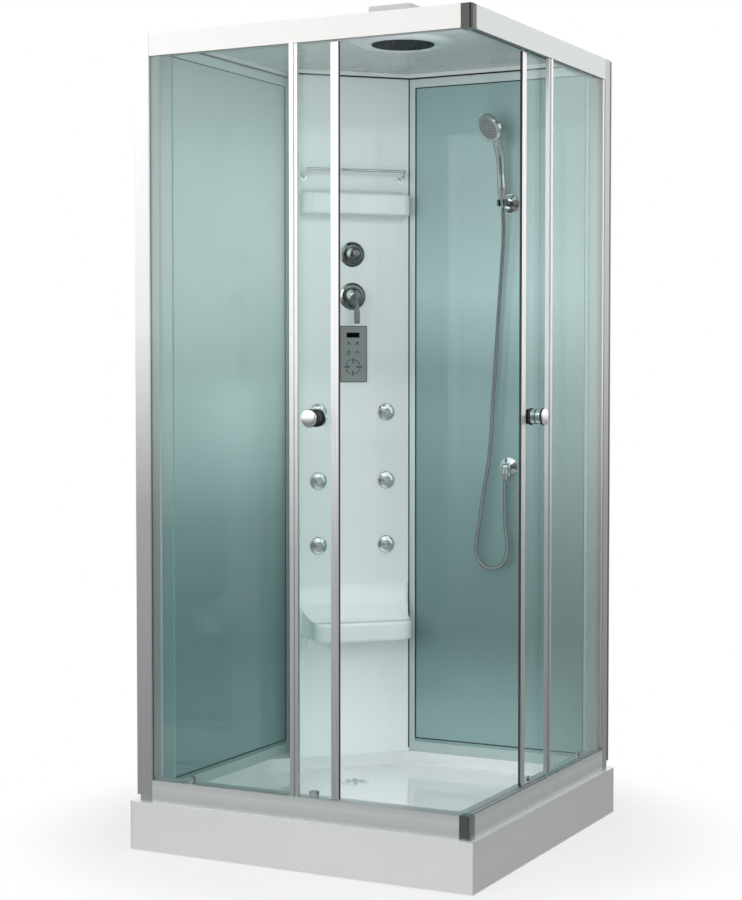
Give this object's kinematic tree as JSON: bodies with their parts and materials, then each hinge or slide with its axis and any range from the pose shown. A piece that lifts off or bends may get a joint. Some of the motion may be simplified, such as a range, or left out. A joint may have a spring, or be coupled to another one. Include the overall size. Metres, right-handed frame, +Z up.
{
  "type": "shower cabin",
  "caption": "Square corner-entry shower cabin with sliding glass doors, a shallow tray, a moulded corner column with seat, shelf and body jets, a rain head and a hand shower.",
  "frame": {"origin": "on the floor under the centre of the square tray, which is the underside of the middle foot", "axes": "+Z up; the left front face looks along -Y, the right front face along +X, so the entry corner is at +X, -Y and the column at -X, +Y"},
  "size_m": [1.012, 1.012, 2.19],
  "materials": {
    "tray_white": "gloss",
    "tube_steel": "satin",
    "foot_black": "matte",
    "trap_grey": "matte",
    "chrome": "polished",
    "chromed_plastic": "chromed",
    "profile": "satin",
    "front_glass": "clear",
    "back_glass": "coated",
    "column_white": "gloss",
    "brass": "plain",
    "roof_white": "gloss",
    "ring_grey": "gloss",
    "head_dark": "satin",
    "keypad_grey": "satin",
    "seal_black": "matte",
    "bracket_grey": "satin",
    "roller_white": "matte",
    "nozzle_grey": "gloss"
  },
  "bodies": {
    "cabin": {"tray": "tray_white", "tray_frame": "tube_steel", "feet": "foot_black", "drain_trap": "trap_grey", "drain_grid": "chrome", "bottom_rail_left": "profile", "bottom_rail_right": "profile", "top_rail_left": "profile", "top_rail_right": "profile", "corner_caps": "chromed_plastic", "post_left": "profile", "post_right": "profile", "fixed_glass_left": "front_glass", "fixed_glass_right": "front_glass", "fixed_edge_left": "profile", "fixed_edge_right": "profile", "back_frame_left": "profile", "back_frame_right": "profile", "back_glass_left": "back_glass", "back_glass_right": "back_glass", "column": "column_white", "valve_pipes": "brass", "roof": "roof_white", "rain_ring": "ring_grey", "rain_head": "head_dark", "control_box": "roof_white", "towel_rail": "chrome", "diverter_plate": "chrome", "mixer_plate": "chrome", "keypad": "keypad_grey", "jet_bezels": "chromed_plastic", "handset_holder": "chromed_plastic", "hose": "chrome", "outlet_nut": "chrome", "wall_outlet": "chrome"},
    "left_door": {"left_door_glass": "front_glass", "left_door_edge": "profile", "left_door_seal": "seal_black", "left_door_knob": "chromed_plastic", "left_door_hardware": "bracket_grey"},
    "right_door": {"right_door_glass": "front_glass", "right_door_edge": "profile", "right_door_seal": "seal_black", "right_door_knob": "chromed_plastic", "right_door_hardware": "bracket_grey"},
    "diverter": {"diverter_knob": "chromed_plastic"},
    "mixer": {"mixer_dome": "chrome"},
    "lever": {"mixer_lever": "chrome"},
    "hand_shower": {"handset": "chromed_plastic", "handset_nut": "chrome"},
    "left_roller_front": {"left_roller_front": "roller_white"},
    "left_roller_rear": {"left_roller_rear": "roller_white"},
    "right_roller_front": {"right_roller_front": "roller_white"},
    "right_roller_rear": {"right_roller_rear": "roller_white"},
    "nozzle_1": {"jet_nozzle_1": "nozzle_grey"},
    "nozzle_2": {"jet_nozzle_2": "nozzle_grey"},
    "nozzle_3": {"jet_nozzle_3": "nozzle_grey"},
    "nozzle_4": {"jet_nozzle_4": "nozzle_grey"},
    "nozzle_5": {"jet_nozzle_5": "nozzle_grey"},
    "nozzle_6": {"jet_nozzle_6": "nozzle_grey"}
  },
  "joints": [
    {"name": "left_door_slide", "type": "slide", "parent": "cabin", "child": "left_door", "axis": [1, 0, 0], "range_m": [-0.018, 0.348]},
    {"name": "right_door_slide", "type": "slide", "parent": "cabin", "child": "right_door", "axis": [0, -1, 0], "range_m": [-0.018, 0.335]},
    {"name": "left_roller_front_spin", "type": "hinge", "parent": "left_door", "child": "left_roller_front", "pos_m": [0.042, -0.448, 2.1108], "axis": [0, 1, 0], "range_deg": [-130, 2230]},
    {"name": "left_roller_rear_spin", "type": "hinge", "parent": "left_door", "child": "left_roller_rear", "pos_m": [-0.327, -0.448, 2.1108], "axis": [0, 1, 0], "range_deg": [-130, 2230]},
    {"name": "right_roller_front_spin", "type": "hinge", "parent": "right_door", "child": "right_roller_front", "pos_m": [0.448, -0.055, 2.1108], "axis": [1, 0, 0], "range_deg": [-130, 2230]},
    {"name": "right_roller_rear_spin", "type": "hinge", "parent": "right_door", "child": "right_roller_rear", "pos_m": [0.448, 0.314, 2.1108], "axis": [1, 0, 0], "range_deg": [-130, 2230]},
    {"name": "diverter_turn", "type": "hinge", "parent": "cabin", "child": "diverter", "pos_m": [-0.2505, 0.30706, 1.615], "axis": [0.7071, -0.7071, 0], "range_deg": [-90, 90]},
    {"name": "mixer_turn", "type": "hinge", "parent": "cabin", "child": "mixer", "pos_m": [-0.24484, 0.30141, 1.492], "axis": [0.7071, -0.7071, 0], "range_deg": [-45, 45]},
    {"name": "lever_lift", "type": "hinge", "parent": "mixer", "child": "lever", "pos_m": [-0.24484, 0.30141, 1.492], "axis": [-0.7071, -0.7071, 0], "range_deg": [0, 22]},
    {"name": "handset_lift", "type": "slide", "parent": "cabin", "child": "hand_shower", "axis": [0, -0.1392, 0.9903], "range_m": [0, 0.04], "deforming": ["hose"]},
    {"name": "nozzle_1_turn", "type": "hinge", "parent": "cabin", "child": "nozzle_1", "pos_m": [-0.32828, 0.23635, 0.757], "axis": [0, 0, 1], "range_deg": [-12, 12]},
    {"name": "nozzle_2_turn", "type": "hinge", "parent": "cabin", "child": "nozzle_2", "pos_m": [-0.32828, 0.23635, 0.948], "axis": [0, 0, 1], "range_deg": [-12, 12]},
    {"name": "nozzle_3_turn", "type": "hinge", "parent": "cabin", "child": "nozzle_3", "pos_m": [-0.32828, 0.23635, 1.15], "axis": [0, 0, 1], "range_deg": [-12, 12]},
    {"name": "nozzle_4_turn", "type": "hinge", "parent": "cabin", "child": "nozzle_4", "pos_m": [-0.17979, 0.38485, 0.757], "axis": [0, 0, 1], "range_deg": [-12, 12]},
    {"name": "nozzle_5_turn", "type": "hinge", "parent": "cabin", "child": "nozzle_5", "pos_m": [-0.17979, 0.38485, 0.948], "axis": [0, 0, 1], "range_deg": [-12, 12]},
    {"name": "nozzle_6_turn", "type": "hinge", "parent": "cabin", "child": "nozzle_6", "pos_m": [-0.17979, 0.38485, 1.15], "axis": [0, 0, 1], "range_deg": [-12, 12]}
  ],
  "couplings": [
    {"joint": "left_roller_front_spin", "follows": "left_door_slide", "rad_per_m": 111.11},
    {"joint": "left_roller_rear_spin", "follows": "left_door_slide", "rad_per_m": 111.11},
    {"joint": "right_roller_front_spin", "follows": "right_door_slide", "rad_per_m": 111.11},
    {"joint": "right_roller_rear_spin", "follows": "right_door_slide", "rad_per_m": 111.11}
  ]
}
